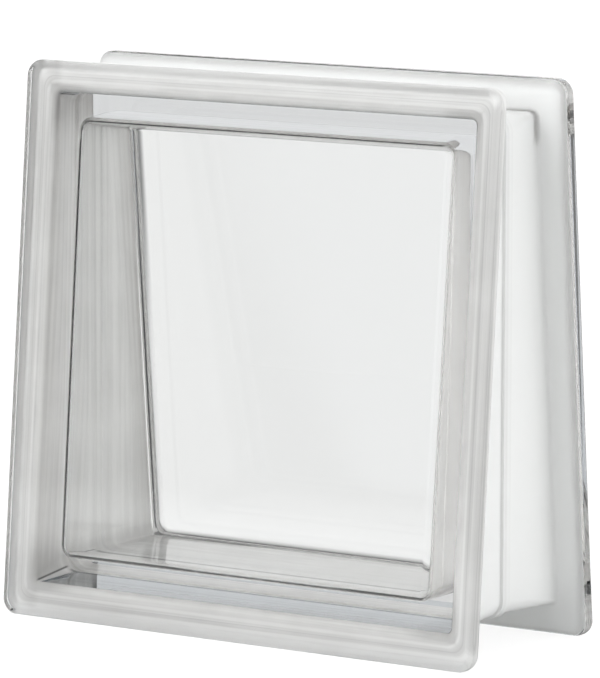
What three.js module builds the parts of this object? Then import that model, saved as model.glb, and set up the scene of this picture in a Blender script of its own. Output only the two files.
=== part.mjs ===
// Trapezoidal hollow glass block for mortared walls.
//
// Two identical pressed glass shells stand back to back and are fused along a vertical seam.
// Each shell is a thick square face plate whose rim overhangs a narrower hollow body, so that
// a channel for mortar and reinforcing rods runs all round the block between the two rims.
// The faces lean towards each other: the block is deep at its base and shallow at its top.
//
// Millimetres, +Z up. X runs along the faces and Y through the block, with the front face
// towards -Y. The origin is on the floor under the middle of the block, at the seam.
import * as THREE from 'three';

// ---- driving dimensions ---------------------------------------------------------------

// The block as a whole.
const FACE = 190; // side of the square faces
const BASE_DEPTH = 80; // over both faces at their foot, the deepest part of the block
const TOP_DEPTH = 47; // over both faces at the top edge

// The rim of a face plate, which overhangs the body.
const RIM_THICKNESS = 6.5;
const RIM_CORNER = 5.5; // corner radius of the square face
const RIM_FACE_ROUND = 2; // round between the face and the rim's edge
const RIM_BACK_ROUND = 2.5; // round between the rim's edge and its back

// The outside of the body between the two rims.
const BODY = 167; // outer size at the seam
const BODY_FLARE = 0.015; // each side moves out by this much per mm away from the seam
const BODY_CORNER_AT_RIM = 2;
const BODY_CORNER_AT_SEAM = 6;
const BODY_FOOT_ROUND = 1; // hollow round where the body meets the back of the rim

// The bead pressed up along the fused seam, with sloping sides and a flat crown.
const BEAD_HEIGHT = 1;
const BEAD_HALF_WIDTH = 2.8;
const BEAD_CROWN_HALF_WIDTH = 2.2;

// The sealed air space.
const PLATE_THICKNESS = 8.1; // glass between the outer face and the air space
const CAVITY = 152.5; // inner size at the seam
const CAVITY_FLARE = -0.045; // its sides close in towards the faces
const CAVITY_CORNER_AT_PLATE = 4.6;
const CAVITY_CORNER_AT_SEAM = 7;
const CAVITY_ROUND = 3.2; // round between the side walls and the inner face of the plate

// Facets.
const CORNER_STEPS = 9; // round each corner of an outline
const ROUND_STEPS = 6; // through a quarter turn of a round

// ---- form of one shell ----------------------------------------------------------------

const LEAN = (BASE_DEPTH - TOP_DEPTH) / 2 / FACE; // of a face, per mm of height

/** Distance from the seam plane to the outer face at height z. A face starts above its round. */
const halfDepth = (z) => BASE_DEPTH / 2 - LEAN * (z - RIM_FACE_ROUND);

/**
 * A station is one closed outline round the shell: a square with round corners.
 *   half        half the square's side, measured at the seam plane
 *   corner      its corner radius
 *   behindFace  distance behind the leaning outer face, or else
 *   fromSeam    distance from the upright seam plane
 *   flare       by how much half grows per mm away from the seam
 */
function outlinePoints({ half, corner, behindFace, fromSeam, flare = 0 }) {
  const points = [];
  for (let quarter = 0; quarter < 4; quarter++) {
    const sideX = quarter === 0 || quarter === 3 ? 1 : -1;
    const sideZ = quarter < 2 ? 1 : -1;
    for (let step = 0; step <= CORNER_STEPS; step++) {
      const angle = (quarter + step / CORNER_STEPS) * (Math.PI / 2);
      const x = sideX * (half - corner) + corner * Math.cos(angle);
      const z = FACE / 2 + sideZ * (half - corner) + corner * Math.sin(angle);
      // The flare moves a point out by flare * y, which in turn moves a leaning outline's y.
      const y = fromSeam ?? (halfDepth(z) - behindFace) / (1 + LEAN * sideZ * flare);
      points.push(new THREE.Vector3(x + sideX * flare * y, -y, z + sideZ * flare * y));
    }
  }
  return points;
}

/**
 * Stations along an arc of the shell's section, from angle `from` to `to` in quarter turns.
 * Angle 0 points outwards along the face, and angle 1 points away from the face.
 */
function arcStations({ half, behindFace, round, from, to, corner, ...rest }) {
  return Array.from({ length: ROUND_STEPS + 1 }, (_, step) => {
    const angle = (from + ((to - from) * step) / ROUND_STEPS) * (Math.PI / 2);
    const outwards = round * Math.cos(angle);
    return {
      half: half + outwards,
      corner: corner + outwards,
      behindFace: behindFace + round * Math.sin(angle),
      ...rest,
    };
  });
}

/** The rim: face round, edge and back round. Corner radii are those at the arcs' centres. */
function rimStations() {
  return [
    ...arcStations({
      half: FACE / 2 - RIM_FACE_ROUND,
      corner: RIM_CORNER - RIM_FACE_ROUND,
      behindFace: RIM_FACE_ROUND,
      round: RIM_FACE_ROUND,
      from: -1,
      to: 0,
    }),
    ...arcStations({
      half: FACE / 2 - RIM_BACK_ROUND,
      corner: RIM_CORNER - RIM_BACK_ROUND,
      behindFace: RIM_THICKNESS - RIM_BACK_ROUND,
      round: RIM_BACK_ROUND,
      from: 0,
      to: 1,
    }),
  ];
}

/** The body's outside: the hollow round at its foot, then the side up to the bead. */
function bodyStations() {
  return [
    ...arcStations({
      half: BODY / 2 + BODY_FOOT_ROUND,
      corner: BODY_CORNER_AT_RIM + BODY_FOOT_ROUND,
      behindFace: RIM_THICKNESS + BODY_FOOT_ROUND,
      round: BODY_FOOT_ROUND,
      from: 3,
      to: 2,
      flare: BODY_FLARE,
    }),
    { half: BODY / 2, corner: BODY_CORNER_AT_SEAM, fromSeam: BEAD_HALF_WIDTH },
  ];
}

/** The bead's half of the seam: the slope up from the body, then the crown. */
function beadStations() {
  const crown = { half: BODY / 2 + BEAD_HEIGHT, corner: BODY_CORNER_AT_SEAM + BEAD_HEIGHT };
  return [
    { ...crown, fromSeam: BEAD_CROWN_HALF_WIDTH },
    { ...crown, fromSeam: 0 },
  ];
}

/** The air space: its mouth at the seam, the side walls and the round at its floor. */
function cavityStations() {
  return [
    { half: CAVITY / 2, corner: CAVITY_CORNER_AT_SEAM, fromSeam: 0 },
    ...arcStations({
      half: CAVITY / 2 - CAVITY_ROUND,
      corner: CAVITY_CORNER_AT_PLATE - CAVITY_ROUND,
      behindFace: PLATE_THICKNESS + CAVITY_ROUND,
      round: CAVITY_ROUND,
      from: 0,
      to: -1,
      flare: CAVITY_FLARE,
    }),
  ];
}

/** Skin over the stations in turn, with a fan over the flat first and last outlines. */
function loftGeometry(stations) {
  const rings = stations.map(outlinePoints);
  const ringSize = rings[0].length;
  const middle = (ring) => {
    const sum = ring.reduce((total, point) => total.add(point), new THREE.Vector3());
    return sum.divideScalar(ring.length);
  };
  const points = [...rings.flat(), middle(rings[0]), middle(rings.at(-1))];
  const firstMiddle = points.length - 2;
  const lastMiddle = points.length - 1;
  const lastRing = (rings.length - 1) * ringSize;

  const index = [];
  for (let i = 0; i < ringSize; i++) {
    const next = (i + 1) % ringSize;
    index.push(firstMiddle, i, next);
    index.push(lastMiddle, lastRing + next, lastRing + i);
    for (let ring = 0; ring < rings.length - 1; ring++) {
      const here = ring * ringSize;
      const there = here + ringSize;
      index.push(here + i, there + next, here + next);
      index.push(here + i, there + i, there + next);
    }
  }
  const geometry = new THREE.BufferGeometry().setFromPoints(points);
  geometry.setIndex(index);
  geometry.computeVertexNormals();
  return geometry;
}

// ---- the block ------------------------------------------------------------------------

const shellGeometry = loftGeometry([
  ...rimStations(),
  ...bodyStations(),
  ...beadStations(),
  ...cavityStations(),
]);

/** A pressed shell of clear glass, turned about the upright axis so that its face looks out. */
function shell(name, turn) {
  const glass = new THREE.MeshStandardMaterial({
    color: 0xe4e9e7,
    roughness: 0.05,
    metalness: 0,
    transparent: true,
    opacity: 0.4,
  });
  const mesh = new THREE.Mesh(shellGeometry, glass);
  mesh.name = name;
  mesh.rotation.z = turn;
  return mesh;
}

const glassBlock = new THREE.Group();
glassBlock.add(shell('front_half', 0), shell('rear_half', Math.PI));

export default glassBlock;
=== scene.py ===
import math
from functools import cached_property

import bpy
from mathutils import Matrix, Vector

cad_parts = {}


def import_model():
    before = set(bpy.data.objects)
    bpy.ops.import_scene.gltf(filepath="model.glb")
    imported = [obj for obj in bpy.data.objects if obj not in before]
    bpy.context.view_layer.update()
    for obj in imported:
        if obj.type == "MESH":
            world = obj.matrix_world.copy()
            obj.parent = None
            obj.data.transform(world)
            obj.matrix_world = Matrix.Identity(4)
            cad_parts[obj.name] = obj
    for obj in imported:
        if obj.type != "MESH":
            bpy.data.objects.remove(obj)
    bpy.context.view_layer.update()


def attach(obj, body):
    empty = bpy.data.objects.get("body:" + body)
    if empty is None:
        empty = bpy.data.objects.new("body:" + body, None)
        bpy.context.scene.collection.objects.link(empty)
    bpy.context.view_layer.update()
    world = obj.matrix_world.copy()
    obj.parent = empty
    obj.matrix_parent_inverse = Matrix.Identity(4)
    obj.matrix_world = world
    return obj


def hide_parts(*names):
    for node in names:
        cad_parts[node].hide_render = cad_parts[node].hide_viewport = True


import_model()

MM = 0.001

# ---- sizes of the block in millimetres, as in its solids: x across, y through it, z up ----
FACE = 190                # side of the square faces
BASE_DEPTH = 80           # over both faces at their foot
TOP_DEPTH = 47            # and at the top
RIM_THICKNESS = 6.5       # the flange that runs round each face
RIM_CORNER = 5.5
RIM_FACE_ROUND = 2
RIM_BACK_ROUND = 2.5
BODY_AT_SEAM = 167        # the square body between the rims, where the shells are fused
BODY_FLARE = 0.015        # each side moves out by this, per millimetre away from the seam
BODY_CORNER_AT_SEAM = 6
BODY_CORNER_AT_RIM = 2    # its corners get tighter towards the rims
FRONT_FOOT_ROUND = 3      # where the body meets the front rim; the solids have 1 mm at both rims
REAR_FOOT_ROUND = 1.2
BEAD_HEIGHT = 1.0         # the bead along the fused seam
BEAD_HALF_WIDTH = 2.8
BEAD_TOP_HALF_WIDTH = 2.2
PLATE_THICKNESS = 8.1     # glass at the two faces
CAVITY_AT_SEAM = 152.5
CAVITY_FLARE = -0.045     # the cavity narrows towards the faces, as the plunger left it
CAVITY_CORNER_AT_SEAM = 7
CAVITY_CORNER = 4.6       # where its walls end at the face
CAVITY_ROUND = 3.2

# the bead's section: height over the body, and distance from the seam plane
BEAD_SECTION = (
    (0, BEAD_HALF_WIDTH),
    (BEAD_HEIGHT * 0.75, BEAD_TOP_HALF_WIDTH + BEAD_HEIGHT * 0.15),
    (BEAD_HEIGHT * 0.93, BEAD_TOP_HALF_WIDTH),
    (BEAD_HEIGHT, BEAD_TOP_HALF_WIDTH - BEAD_HEIGHT * 0.2),
    (BEAD_HEIGHT, 0),
)

CORNER_STEPS = 16
ROUND_STEPS = 12
CLEAR_ROUND_STEPS = 5     # of the rim's back round, from its edge: bare glass, before the coating starts
LEAN = (BASE_DEPTH - TOP_DEPTH) / 2 / FACE
CENTRE = FACE / 2

CLEAR, COATED = 0, 1      # the block's two finishes


# ---------------------------------------------------------------- shape ----

def half_depth(z):
    """Distance of the leaning face from the seam plane at height z."""
    return BASE_DEPTH / 2 - LEAN * (z - RIM_FACE_ROUND)


def ring(half, corner, behind=None, depth=None, flare=0.0):
    """A rounded square, either a fixed depth from the seam or `behind` the leaning face.

    flare moves the sides out with the depth.
    """
    points = []
    for quarter in range(4):
        side_x = 1 if quarter in (0, 3) else -1
        side_z = 1 if quarter < 2 else -1
        for step in range(CORNER_STEPS + 1):
            angle = (quarter + step / CORNER_STEPS) * math.pi / 2
            x = side_x * (half - corner) + corner * math.cos(angle)
            z = CENTRE + side_z * (half - corner) + corner * math.sin(angle)
            y = depth
            if y is None:
                y = (half_depth(z) - behind) / (1 + LEAN * side_z * flare)
            points.append((x + side_x * flare * y, -min(y, BASE_DEPTH / 2), z + side_z * flare * y))
    return points


def round_rings(half, behind, radius, start, end, corner, flare=0.0):
    """Rings round an arc of the section; start and end are in quarter turns."""
    rings = []
    for step in range(ROUND_STEPS + 1):
        angle = (start + (end - start) * step / ROUND_STEPS) * math.pi / 2
        out = radius * math.cos(angle)
        rings.append(ring(half + out, corner + out, behind + radius * math.sin(angle), flare=flare))
    return rings


def outer_rings(foot_round):
    """(ring, finish of the strip that leads to it), from the edge of the face to the seam."""
    rim_edge = FACE / 2
    body_half = BODY_AT_SEAM / 2
    face = round_rings(rim_edge - RIM_FACE_ROUND, RIM_FACE_ROUND, RIM_FACE_ROUND, -1, 0,
                       RIM_CORNER - RIM_FACE_ROUND)
    back = round_rings(rim_edge - RIM_BACK_ROUND, RIM_THICKNESS - RIM_BACK_ROUND, RIM_BACK_ROUND, 0, 1,
                       RIM_CORNER - RIM_BACK_ROUND)
    foot = round_rings(body_half + foot_round, RIM_THICKNESS + foot_round, foot_round, 3, 2,
                       BODY_CORNER_AT_RIM + foot_round, BODY_FLARE)
    bead = [ring(body_half + height, BODY_CORNER_AT_SEAM + height, depth=depth)
            for height, depth in BEAD_SECTION]
    clear = face + back[:CLEAR_ROUND_STEPS + 1]
    coated = back[CLEAR_ROUND_STEPS + 1:] + foot + bead
    return [(points, CLEAR) for points in clear] + [(points, COATED) for points in coated]


def cavity_rings():
    """From the seam to the inside of the face."""
    rings = [ring(CAVITY_AT_SEAM / 2, CAVITY_CORNER_AT_SEAM, depth=0)]
    rings += round_rings(CAVITY_AT_SEAM / 2 - CAVITY_ROUND, PLATE_THICKNESS + CAVITY_ROUND, CAVITY_ROUND,
                         0, -1, CAVITY_CORNER - CAVITY_ROUND, CAVITY_FLARE)
    return [(points, CLEAR) for points in rings]


def both_shells(front, rear):
    """Rings from the front face to the seam, then those of the rear shell, mirrored, on to its face."""
    rear = [([(x, -y, z) for x, y, z in points], finish) for points, finish in rear]
    onward = [(rear[k][0], rear[k + 1][1]) for k in range(len(rear) - 2, -1, -1)]
    return front + onward


def skin(rings):
    """Faces between successive rings, closed by a flat face at each end."""
    verts, faces, finishes = [], [], []
    size = len(rings[0][0])
    for points, _ in rings:
        verts += [(x * MM, y * MM, z * MM) for x, y, z in points]
    for k in range(1, len(rings)):
        near, far = (k - 1) * size, k * size
        for i in range(size):
            j = (i + 1) % size
            faces.append((near + i, far + i, far + j, near + j))
            finishes.append(rings[k][1])
    last = (len(rings) - 1) * size
    faces.append(tuple(range(size)))
    faces.append(tuple(last + i for i in reversed(range(size))))
    finishes += [CLEAR, CLEAR]
    return verts, faces, finishes


def across_values(rings):
    """Millimetres over the section from the edge of the nearer face, for each ring."""
    lengths = [0.0]
    for (before, _), (after, _) in zip(rings, rings[1:]):
        lengths.append(lengths[-1] + math.dist(before[0][:2], after[0][:2]))
    return [min(length, lengths[-1] - length) for length in lengths]


def glass_block():
    """The two fused shells as one closed body of glass with its sealed cavity."""
    outer = both_shells(outer_rings(FRONT_FOOT_ROUND), outer_rings(REAR_FOOT_ROUND))
    inside = list(reversed(cavity_rings()))
    cavity = both_shells(inside, inside)
    verts, faces, finishes = skin(outer)
    inner_verts, inner_faces, inner_finishes = skin(cavity)
    first = len(verts)
    verts += inner_verts
    faces += [tuple(first + i for i in reversed(face)) for face in inner_faces]
    finishes += inner_finishes
    mesh = bpy.data.meshes.new("glass_block")
    mesh.from_pydata(verts, [], faces)
    mesh.polygons.foreach_set("material_index", finishes)
    mesh.polygons.foreach_set("use_smooth", [True] * len(faces))
    size = len(outer[0][0])
    across = [value for rings in (outer, cavity) for value in across_values(rings) for _ in range(size)]
    mesh.attributes.new("across", "FLOAT", "POINT").data.foreach_set("value", across)
    mesh.update()
    block = bpy.data.objects.new("glass_block", mesh)
    bpy.context.scene.collection.objects.link(block)
    block.modifiers.new("flat_faces", "WEIGHTED_NORMAL")
    return block


# ---------------------------------------------------------------- nodes ----

def put(socket, value):
    """Feed an input from another socket, or give it a plain number or colour."""
    if isinstance(value, bpy.types.NodeSocket):
        socket.id_data.links.new(value, socket)
    else:
        socket.default_value = value


def add_node(tree, kind, inputs=None, **settings):
    """A new node with its settings, and with its inputs by name or number."""
    node = tree.nodes.new("ShaderNode" + kind)
    for name, value in settings.items():
        setattr(node, name, value)
    for name, value in (inputs or {}).items():
        put(node.inputs[name], value)
    return node


def math_node(operation, *values):
    """A Math node fed by sockets and plain numbers; returns its output."""
    tree = next(value.id_data for value in values if isinstance(value, bpy.types.NodeSocket))
    return add_node(tree, "Math", dict(enumerate(values)), operation=operation).outputs[0]


def chained(operation, first, *others):
    """The first value, taken together with each of the others in turn."""
    for value in others:
        first = math_node(operation, first, value)
    return first


def plus(*values):
    return chained("ADD", *values)


def times(*values):
    return chained("MULTIPLY", *values)


def largest(*values):
    return chained("MAXIMUM", *values)


def smallest(*values):
    return chained("MINIMUM", *values)


def minus(value, taken):
    return math_node("SUBTRACT", value, taken)


def absolute(value):
    return math_node("ABSOLUTE", value)


def at_least(depth, count):
    """1 where a depth, which is a whole number, is `count` or more."""
    return math_node("GREATER_THAN", depth, count - 0.5)


def at_most(depth, count):
    return math_node("LESS_THAN", depth, count + 0.5)


def parts(vector):
    """The x, y and z of a vector."""
    return add_node(vector.id_data, "SeparateXYZ", {0: vector}).outputs


def smooth_step(value, low, high):
    """0 at `low` and beyond, 1 at `high` and beyond; either may be the larger."""
    falling = low > high
    return add_node(value.id_data, "MapRange", {
        "Value": value,
        "From Min": min(low, high),
        "From Max": max(low, high),
        "To Min": 1.0 if falling else 0.0,
        "To Max": 0.0 if falling else 1.0,
    }, interpolation_type="SMOOTHSTEP").outputs[0]


def band(value, centre, half_width):
    """1 at `centre`, falling to 0 at half_width on both sides."""
    return smooth_step(absolute(minus(value, centre)), half_width, 0)


def blend(factor, first, second, data_type="RGBA"):
    """From the first colour where the factor is 0 to the second where it is 1."""
    return add_node(factor.id_data, "Mix", {"Factor": factor, "A": first, "B": second},
                    data_type=data_type).outputs["Result"]


def blend_value(factor, first, second):
    """From the first number where the factor is 0 to the second where it is 1."""
    return blend(factor, first, second, data_type="FLOAT")


def new_material(name):
    """A material and its empty node tree."""
    material = bpy.data.materials.new(name)
    material.use_nodes = True
    material.node_tree.nodes.clear()
    return material, material.node_tree


def light_path(tree):
    """What a ray has met since it left the camera."""
    return add_node(tree, "LightPath").outputs


def unscattered(path):
    """1 for rays that no matt surface has scattered yet."""
    return at_most(path["Diffuse Depth"], 0)


def was_mirrored(path):
    """1 for rays that a smooth surface has sent back at least once."""
    return at_least(path["Glossy Depth"], 1)


def through_solid(path):
    """1 for rays that crossed the glass without the cavity."""
    crossings = path["Transmission Depth"]
    return times(at_least(crossings, 1), at_most(crossings, 2), unscattered(path))


def shows_background(path):
    """1 for camera, glossy and transmitted rays that no matt surface has scattered yet."""
    seen = largest(path["Is Camera Ray"], path["Is Glossy Ray"], path["Is Transmission Ray"])
    return times(seen, unscattered(path))


# ------------------------------------------------------------ the glass ----

GLASS_TINT = (0.96, 0.966, 0.964, 1)
GLASS_IOR = 1.52
ABSORPTION_COLOR = (0.54, 0.46, 0.40, 1)
ABSORPTION_DENSITY = 2.5
WAVE_HEIGHT = 0.00006         # metres: what pressing leaves on the glass
WAVE_GRAIN = dict(along=12, over_section=0.22, detail=2)
WAVES_FADE = (0.0925, 0.084)  # metres from the middle: the rims' edges are smooth


class Spot:
    """Sockets that say where a spot of the block's skin is: metres, but for `across`."""

    def __init__(self, tree):
        self.tree = tree
        self.x, self.y, self.z = parts(add_node(tree, "TexCoord").outputs["Object"])

    @cached_property
    def aside(self):
        """Distance from the middle, sideways."""
        return absolute(self.x)

    @cached_property
    def upright(self):
        """Distance from the middle, up or down."""
        return absolute(minus(self.z, CENTRE * MM))

    @cached_property
    def outwards(self):
        """Distance from the middle, square by square."""
        return largest(self.aside, self.upright)

    @cached_property
    def cornerwards(self):
        """The smaller of the two distances, which is large in the corners alone."""
        return smallest(self.aside, self.upright)

    @cached_property
    def across(self):
        """Millimetres over the section from the edge of the nearer face."""
        return add_node(self.tree, "Attribute", attribute_name="across").outputs["Fac"]

    @cached_property
    def from_within(self):
        """1 where the skin is seen through the glass, 0 where it is seen from outside."""
        return add_node(self.tree, "NewGeometry").outputs["Backfacing"]


def noise(spot, along, over_section, detail, roughness=0.5):
    """Noise of about 0 to 1, with its grain per metre along the walls and per millimetre over the section."""
    grain = add_node(spot.tree, "CombineXYZ", {
        "X": times(spot.x, along),
        "Y": times(spot.across, over_section),
        "Z": times(spot.z, along),
    })
    return add_node(spot.tree, "TexNoise", {
        "Vector": grain.outputs[0],
        "Scale": 1.0,
        "Detail": detail,
        "Roughness": roughness,
    }).outputs["Fac"]


def on_glass(material, shader):
    """Finish one of the block's materials: its surface, and the faint grey of the glass below it."""
    absorption = add_node(material.node_tree, "VolumeAbsorption", {
        "Color": ABSORPTION_COLOR,
        "Density": ABSORPTION_DENSITY,
    })
    add_node(material.node_tree, "OutputMaterial", {
        "Surface": shader.outputs[0],
        "Volume": absorption.outputs[0],
    })
    return material


def clear_glass():
    """Pressed and fire-polished glass: faint waves, stretched along the walls."""
    material, tree = new_material("clear_pressed_glass")
    spot = Spot(tree)
    bump = add_node(tree, "Bump", {
        "Strength": 1.0,
        "Distance": WAVE_HEIGHT,
        "Height": times(noise(spot, **WAVE_GRAIN), smooth_step(spot.outwards, *WAVES_FADE)),
    })
    glass = add_node(tree, "BsdfPrincipled", {
        "Base Color": GLASS_TINT,
        "Roughness": 0.0,
        "IOR": GLASS_IOR,
        "Transmission Weight": 1.0,
        "Normal": bump.outputs[0],
    })
    return on_glass(material, glass)


# ---------------------------------------------------------- the coating ----
# Its places are millimetres over the section, or metres where they say so.

COAT_PALE = (0.970, 0.983, 0.979, 1)        # outside
COAT_DEEP = (0.83, 0.838, 0.832, 1)
INNER_PALE = (0.972, 0.974, 0.970, 1)       # and seen through the glass
INNER_DEEP = (0.70, 0.700, 0.694, 1)
# colour of the dark lines, and of the painted shade and painted dark reflection that dark_lines marks
LINE_COLOR = (0.10, 0.10, 0.10, 1)
COAT_MIRROR_TINT = (0.74, 0.76, 0.78, 1)
COAT_ROUGHNESS = 0.45
COAT_INNER_ROUGHNESS = 0.03

NOISE_MIDDLE = 0.5
STREAKS = dict(strength=1.7, along=9, over_section=0.75, detail=5, roughness=0.65)
CLOUDS = dict(strength=0.6, along=60, over_section=0.06, detail=3)

WALL = (16.0, 20.0)           # where the rim's back gives way to the body's wall
RIGHT_WALL = (0.078, 0.082)   # metres across: start of the body's right wall


def mottle(spot, strength, **grain):
    """A random shade round 0."""
    return times(minus(noise(spot, **grain), NOISE_MIDDLE), strength)


def on_wall(spot):
    """1 on the body behind the rims' backs."""
    return smooth_step(spot.across, *WALL)


def on_right_wall(spot):
    """1 on the body's right side."""
    return times(on_wall(spot), smooth_step(spot.x, *RIGHT_WALL))


INNER_TONE = 0.80
# light and dark lines along the rim's back and the wall, partly painted light and shade (the paler band on
# the rim's round, the dark line in the foot's crease): place, half width, tone
LINES_AND_PAINTED_SHADE = (
    (7.8, 2.0, 0.5), (10.2, 1.1, 0.65), (12.0, 5.0, -0.35), (13.8, 0.9, 0.5), (18.4, 1.6, -0.4),
    (29.5, 1.2, 0.35), (35.0, 1.0, 0.3),
)
LEFT_RIM = (-0.081, -0.085)          # metres across: painted shade, the left rim's back is darker
LEFT_RIM_EDGES = ((15.6, 14.6), (8.0, 9.5))
LEFT_RIM_PAINTED_SHADE = 0.5
RIGHT_WALL_PAINTED_LIGHT = 0.4                     # painted light: the right wall is paler
CORNERS = (0.064, 0.083)             # metres from the middle: shade in the four corners
CORNERS_END = (0.0875, 0.0855)       # metres from the middle: not on the rims
CORNER_SHADE = 0.9


def inner_tone(spot, clouds):
    """How pale the coating is where it is seen through the glass: 0 is deep, 1 pale. It carries painted shade
    on the left rim's back, in the corners and in the foot's crease, and painted light on the rim's round and
    the right wall.
    """
    tone = plus(mottle(spot, **STREAKS), clouds, INNER_TONE)
    for centre, half_width, strength in LINES_AND_PAINTED_SHADE:
        tone = plus(tone, times(band(spot.across, centre, half_width), strength))
    left = times(smooth_step(spot.x, *LEFT_RIM), LEFT_RIM_PAINTED_SHADE)
    for edge in LEFT_RIM_EDGES:
        left = times(left, smooth_step(spot.across, *edge))
    tone = minus(tone, left)
    tone = plus(tone, times(on_right_wall(spot), RIGHT_WALL_PAINTED_LIGHT))
    corner = times(smooth_step(spot.cornerwards, *CORNERS), smooth_step(spot.outwards, *CORNERS_END))
    return minus(tone, times(corner, CORNER_SHADE))


OUTER_TONE = 0.95
OUTER_CLOUDS = 0.5                   # share of the clouds that shows outside
PAST_RIM = (17.0, 20.0)
RIM_SHADE = 0.7                      # painted shade: the rims' back is deeper than the body
# but less so along the top, between its corners, as painted light: metres up, and metres across from both
# sides
TOP_RIM = (0.165, 0.175)
TOP_RIM_RIGHT = (0.080, 0.020)
TOP_RIM_LEFT = (-0.094, -0.060)
TOP_RIM_PAINTED_LIGHT = 0.7
# shade lines beside and on the bead: metres from the seam plane, half width, strength
SEAM_LINES = (
    (-0.0026, 0.0006, 1.2), (-0.001, 0.0018, 0.6), (0.0015, 0.0015, 0.3), (0.0027, 0.0005, 0.4),
)


def outer_tone(spot, clouds):
    """How pale the coating is outside, with painted shade on the rims' backs, less of it along their top, and
    painted shade beside the bead.
    """
    top = times(smooth_step(spot.z, *TOP_RIM), smooth_step(spot.x, *TOP_RIM_RIGHT),
                smooth_step(spot.x, *TOP_RIM_LEFT), TOP_RIM_PAINTED_LIGHT)
    on_rim = times(smooth_step(spot.across, *reversed(PAST_RIM)), minus(1.0, top))
    tone = minus(plus(times(clouds, OUTER_CLOUDS), OUTER_TONE), times(on_rim, RIM_SHADE))
    for centre, half_width, strength in SEAM_LINES:
        tone = minus(tone, times(band(spot.y, centre, half_width), strength))
    return tone


MITRE_HALF_WIDTH = 0.0009            # metres: of the painted shade line in the crease along each of the body's corners
MITRE_END = (-0.003, -0.006)         # metres from the seam plane: the front shell's alone
# thin dark lines: place, half width, strength
DARK_LINES = ((6.95, 0.35, 0.35), (12.2, 0.3, 0.15))
# painted shade under the block, metres from the seam plane: a dark line at the step in front of the bead, and
# a soft shade behind it
STEP_LINES = ((-0.0040, 0.0022, 0.75), (0.006, 0.012, 0.12))
UNDERSIDE = (0.0125, 0.0120)         # metres up
FOOT_START = (13.0, 14.8)            # painted dark reflection: the body's foot is dark where the glass mirrors it
FOOT_END = (23.0, 20.0)
FOOT_LEFT_OF = (0.080, 0.078)        # metres across: not on the right wall
TOP_WALL = (0.160, 0.165)            # metres up
FOOT_NARROWER_AT_TOP = 3.0
FOOT_CORNERS = (0.080, 0.070)        # metres from the middle: it is fainter in the corners
FOOT_IN_CORNERS = 0.4


def mirrored_foot(spot):
    """1 on the painted dark reflection along the body's foot: a dark strip, for rays that the glass has
    mirrored.
    """
    path = light_path(spot.tree)
    mirrored = times(was_mirrored(path), unscattered(path), smooth_step(spot.x, *FOOT_LEFT_OF))
    at_top = times(smooth_step(spot.z, *TOP_WALL), FOOT_NARROWER_AT_TOP)
    foot = times(smooth_step(spot.across, *FOOT_START),
                 smooth_step(plus(spot.across, at_top), *FOOT_END))
    off_corners = smooth_step(spot.cornerwards, *FOOT_CORNERS)
    foot = times(foot, plus(times(off_corners, 1 - FOOT_IN_CORNERS), FOOT_IN_CORNERS))
    return times(foot, mirrored)


def dark_lines(spot):
    """1 on the darkest lines of the coating: thin dark lines over the section, painted shade in the crease
    along the body's corners and under the block, and a painted dark reflection along the foot.
    """
    line = times(band(minus(spot.aside, spot.upright), 0, MITRE_HALF_WIDTH),
                 smooth_step(spot.across, *PAST_RIM), smooth_step(spot.y, *MITRE_END))
    for centre, half_width, strength in DARK_LINES:
        line = largest(line, times(band(spot.across, centre, half_width), strength))
    step = largest(*(times(band(spot.y, centre, half_width), strength)
                     for centre, half_width, strength in STEP_LINES))
    line = largest(line, times(step, smooth_step(spot.z, *UNDERSIDE)))
    return largest(line, mirrored_foot(spot))


COAT_INDEX = 1.03             # of the glass over that of the coat: at a low angle the glass mirrors inside
BONDED_MIDDLE = 0.0086        # metres from the seam plane: the coat is in full contact round here,
BONDED_HALF_WIDTH = 0.0114    # and the glass doesn't mirror
BONDED_EDGE = 0.0003


def inner_mirror(spot):
    """How much the glass mirrors in front of the coating, seen from within."""
    low_angle = add_node(spot.tree, "Fresnel", {"IOR": COAT_INDEX}).outputs[0]
    from_middle = absolute(minus(spot.y, BONDED_MIDDLE))
    loose = smooth_step(from_middle, BONDED_HALF_WIDTH - BONDED_EDGE, BONDED_HALF_WIDTH)
    return times(low_angle, spot.from_within, loose)


COAT_THROUGH = 0.30           # share of the light that passes the coat
THIN_EDGE = (7.2, 4.0)        # it is thin on the rim's round: place, half width
THIN_EDGE_THROUGH = 0.35
TOP_FOOT = (18.4, 2.0)        # and along the foot at the top
TOP_FOOT_HEIGHT = (0.165, 0.172)    # metres up
TOP_FOOT_THROUGH = 0.7
WALL_DENSE = 0.06             # less light passes on the walls
RIGHT_DENSE = 0.08            # and less again on the right one


def through_share(spot):
    """Share of the light that passes the coating."""
    edge = times(band(spot.across, *THIN_EDGE), THIN_EDGE_THROUGH)
    foot = times(band(spot.across, *TOP_FOOT), smooth_step(spot.z, *TOP_FOOT_HEIGHT), TOP_FOOT_THROUGH)
    dense = plus(times(on_right_wall(spot), RIGHT_DENSE), times(on_wall(spot), WALL_DENSE))
    return plus(minus(largest(edge, foot), times(dense, spot.from_within)), COAT_THROUGH)


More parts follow.
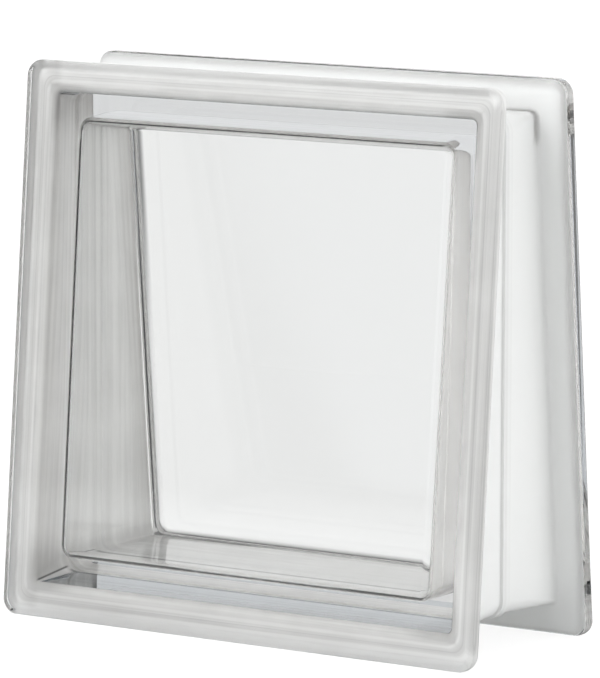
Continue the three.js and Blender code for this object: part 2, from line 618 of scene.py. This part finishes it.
def edge_coating():
    """White coating baked on the glass: nearly even outside, and streaked where seen through the glass; its
    tones carry painted shade and painted light on both sides.
    """
    material, tree = new_material("white_edge_coating")
    spot = Spot(tree)
    clouds = mottle(spot, **CLOUDS)
    outer = blend(outer_tone(spot, clouds), COAT_DEEP, COAT_PALE)
    inner = blend(inner_tone(spot, clouds), INNER_DEEP, INNER_PALE)
    color = blend(spot.from_within, outer, inner)
    color = blend(times(dark_lines(spot), spot.from_within), color, LINE_COLOR)
    mirror = inner_mirror(spot)
    face = add_node(tree, "BsdfPrincipled", {
        "Base Color": color,
        "Roughness": blend_value(spot.from_within, COAT_ROUGHNESS, COAT_INNER_ROUGHNESS),
        "Metallic": mirror,
        "Specular Tint": COAT_MIRROR_TINT,
    })
    through = add_node(tree, "BsdfTranslucent", {"Color": color})
    share = times(minus(1.0, mirror), through_share(spot))
    mix = add_node(tree, "MixShader", {0: share, 1: face.outputs[0], 2: through.outputs[0]})
    return on_glass(material, mix)


# ------------------------------------------- what the glass shows around ----

WHITE = (1, 1, 1, 1)
BLACK = (0, 0, 0, 1)
SOLID_COLOR = (0.955, 0.978, 1.0, 1)   # of the studio, seen through solid glass alone

# dark cloths stand at both sides and overhead: where each starts, and where it is full
SIDE_FLAG = (0.72, 0.95)               # share of a level direction that points sideways
TOP_FLAG = (0.72, 0.82)                # rise of a direction
FLAG_DEPTH = 0.90
MIRRORED_FLAG = (0.58, 0.68)           # the side cloths as the glass mirrors them: wider
IN_FRONT = (-0.3, -0.5)                # y of a direction
OFF_MIDDLE = (0.38, 0.50)              # share of it that points sideways
FRONT_DIM = 0.90                       # of the studio in front, off its middle, where the glass mirrors it


def studio_color(path):
    """White, and slightly blue for rays that crossed solid glass alone."""
    return blend(through_solid(path), WHITE, SOLID_COLOR)


def level_share(x, y):
    """Share of a direction's level part that points sideways, from 0 to 1."""
    level = math_node("SQRT", plus(math_node("POWER", x, 2.0), math_node("POWER", y, 2.0)))
    return math_node("DIVIDE", absolute(x), level)


def mirrored_loss(path, sideways, y, far=1.0):
    """Share of the surroundings that rays mirrored by the block don't see.

    far weighs the part in front of the block.
    """
    front = times(smooth_step(y, *IN_FRONT), smooth_step(sideways, *OFF_MIDDLE), FRONT_DIM, far)
    side = times(smooth_step(sideways, *MIRRORED_FLAG), FLAG_DEPTH)
    return times(was_mirrored(path), largest(front, side))


# ---------------------------------------------------------------- stage ----

CAMERA_AZIMUTH = 33.6                  # degrees to the right of the front face
CAMERA_ELEVATION = 8.12
CAMERA_ROLL = 0.1
CAMERA_DISTANCE = 1.850                # metres from the point it looks at
CAMERA_LOOKS_AT = (0.0019, 0, 0.0983)
CAMERA_REACH = 50
FOCAL_LENGTH = 5470.0                  # in pixels of the picture
PICTURE_HEIGHT = 678                   # in pixels: its longer side
SENSOR = 36                            # millimetres along the longer side


def camera():
    """Three quarters from the right, a little above the block's middle."""
    azimuth, elevation, roll = map(math.radians, (CAMERA_AZIMUTH, CAMERA_ELEVATION, CAMERA_ROLL))
    back = Vector((math.sin(azimuth) * math.cos(elevation), -math.cos(azimuth) * math.cos(elevation),
                   math.sin(elevation)))
    right = Vector((math.cos(azimuth), math.sin(azimuth), 0))
    up = back.cross(right)
    rolled_right = right * math.cos(roll) + up * math.sin(roll)
    rolled_up = up * math.cos(roll) - right * math.sin(roll)
    turn = Matrix((rolled_right, rolled_up, back)).transposed()
    place = Vector(CAMERA_LOOKS_AT) + back * CAMERA_DISTANCE
    data = bpy.data.cameras.new("camera")
    data.sensor_width = SENSOR
    data.lens = FOCAL_LENGTH * SENSOR / PICTURE_HEIGHT
    data.clip_end = CAMERA_REACH
    view = bpy.data.objects.new("camera", data)
    view.matrix_world = Matrix.Translation(place) @ turn.to_4x4()
    bpy.context.scene.collection.objects.link(view)
    bpy.context.scene.camera = view


FLOOR_REACH = 30                       # metres
FLOOR_COLOR = (0.66, 0.66, 0.66, 1)
FLOOR_SHADE = (0.22, 0.22, 0.22, 1)    # what takes the block's shadow where the floor is seen
FLOOR_GLOW = 0.84                      # how bright the floor shows by itself
FLOOR_THROUGH_GLASS = 0.755            # and where the glass shows it
SOLID_FLOOR_DIM = 0.28                 # it is darker through solid glass alone
RELAYED_COLOR = (0.42, 0.45, 0.50, 1)  # and where the cavity sends it back to the front
# places on the floor, in metres out from the block's base
PAINTED_SHADOW_BY_BLOCK = (-0.010, 0.030)          # painted shadow: the floor's glow, where the glass shows it, is dark this close to the block
FLAG_ON_FLOOR = (0.35, 0.9)            # the side cloths start this far out
MIRRORED_LOSS_ON_FLOOR = (0.8, 1.6)


def floor_strength(path, from_block, sideways, loss, single_loss):
    """How bright the floor shows by itself, and through the glass, with a painted shadow close to the block.
    """
    flag = times(smooth_step(sideways, *SIDE_FLAG), smooth_step(from_block, *FLAG_ON_FLOOR), FLAG_DEPTH)
    hollow = times(smooth_step(from_block, *PAINTED_SHADOW_BY_BLOCK), minus(1.0, largest(flag, loss)))
    solid = times(minus(1.0, single_loss), 1 - SOLID_FLOOR_DIM)
    through_glass = times(blend_value(through_solid(path), hollow, solid), FLOOR_THROUGH_GLASS)
    return largest(through_glass, times(path["Is Camera Ray"], FLOOR_GLOW))


def floor_material():
    """Pale and matt; camera, glossy and transmitted rays see it white, with its shadow, and the glass shows a
    painted shadow close to the block too.
    """
    material, tree = new_material("white_floor")
    path = light_path(tree)
    position = add_node(tree, "NewGeometry").outputs["Position"]
    x, y, _ = parts(position)
    from_block = largest(minus(absolute(x), FACE / 2 * MM), minus(absolute(y), BASE_DEPTH / 2 * MM))
    outwards = add_node(tree, "VectorMath", {0: position}, operation="NORMALIZE")
    out_x, out_y, _ = parts(outwards.outputs[0])
    sideways = level_share(out_x, out_y)
    far = smooth_step(from_block, *MIRRORED_LOSS_ON_FLOOR)
    loss = mirrored_loss(path, sideways, out_y, far)
    single_loss = times(loss, at_most(path["Glossy Depth"], 1))
    relayed = times(was_mirrored(path), at_least(path["Transmission Depth"], 3))
    relayed = times(relayed, math_node("LESS_THAN", y, 0.0))

    lit = add_node(tree, "BsdfDiffuse", {"Color": FLOOR_COLOR})
    shaded = add_node(tree, "BsdfDiffuse", {"Color": blend(single_loss, FLOOR_SHADE, BLACK)})
    glow = add_node(tree, "Emission", {
        "Strength": floor_strength(path, from_block, sideways, loss, single_loss),
        "Color": blend(relayed, studio_color(path), RELAYED_COLOR),
    })
    white = add_node(tree, "AddShader", {0: shaded.outputs[0], 1: glow.outputs[0]})
    mix = add_node(tree, "MixShader", {0: shows_background(path), 1: lit.outputs[0], 2: white.outputs[0]})
    add_node(tree, "OutputMaterial", {"Surface": mix.outputs[0]})
    return material


def floor():
    """The plain pale floor that the block stands on."""
    mesh = bpy.data.meshes.new("floor")
    reach = FLOOR_REACH
    mesh.from_pydata([(-reach, -reach, 0), (reach, -reach, 0), (reach, reach, 0), (-reach, reach, 0)],
                     [], [(0, 1, 2, 3)])
    mesh.materials.append(floor_material())
    ground = bpy.data.objects.new("floor", mesh)
    bpy.context.scene.collection.objects.link(ground)


AMBIENT = 0.71
# direction of each soft light, the spread at which it starts and is full, and its strength
SOFT_LIGHTS = (
    ((-0.35, -0.70, 0.62), (0.93, 0.99), 3.2),     # high in front
    ((-0.50, -0.87, 0.10), (0.80, 0.97), 4.4),     # front left
    ((0.87, 0.50, 0.10), (0.80, 0.97), 2.9),       # right, from behind
    ((0.00, 0.75, 0.65), (0.80, 0.97), 1.3),       # high behind
)
SOLID_DIM = 0.12                       # how much darker the studio shows, mirrored in solid glass alone


def soft_light(direction):
    """The light on the block, from each direction."""
    light = AMBIENT
    for axis, spread, strength in SOFT_LIGHTS:
        facing = add_node(direction.id_data, "VectorMath", {
            0: direction,
            1: Vector(axis).normalized(),
        }, operation="DOT_PRODUCT")
        light = plus(light, times(smooth_step(facing.outputs["Value"], *spread), strength))
    return light


def studio_strength(path, direction):
    """What the camera and the glass see around the block: white, with the dark cloths in the glass."""
    x, y, z = parts(direction)
    sideways = level_share(x, y)
    flag = times(largest(smooth_step(sideways, *SIDE_FLAG), smooth_step(z, *TOP_FLAG)), FLAG_DEPTH)
    flag = largest(flag, mirrored_loss(path, sideways, y))
    mirrored_in_solid = times(through_solid(path), was_mirrored(path))
    through_glass = times(minus(1.0, flag), minus(1.0, times(mirrored_in_solid, SOLID_DIM)))
    return largest(through_glass, path["Is Camera Ray"])


def world():
    """A white studio with soft lights."""
    studio = bpy.data.worlds.new("studio")
    bpy.context.scene.world = studio
    studio.use_nodes = True
    tree = studio.node_tree
    path = light_path(tree)
    direction = add_node(tree, "TexCoord").outputs["Generated"]
    background = tree.nodes["Background"]
    put(background.inputs["Color"], studio_color(path))
    put(background.inputs["Strength"],
        blend_value(shows_background(path), soft_light(direction), studio_strength(path, direction)))


# ----------------------------------------------------------------- make ----

BOUNCES = 24                           # a ray meets many glass surfaces before it leaves the block
MATT_BOUNCES = 16

block = glass_block()
block.data.materials.append(clear_glass())
block.data.materials.append(edge_coating())
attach(block, "root")
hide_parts("front_half", "rear_half")
camera()
floor()
world()

scene = bpy.context.scene
scene.view_settings.view_transform = "Standard"
scene.cycles.max_bounces = BOUNCES
scene.cycles.transmission_bounces = BOUNCES
scene.cycles.glossy_bounces = BOUNCES
scene.cycles.diffuse_bounces = MATT_BOUNCES
scene.cycles.blur_glossy = 0           # keeps reflections sharp after a matt bounce
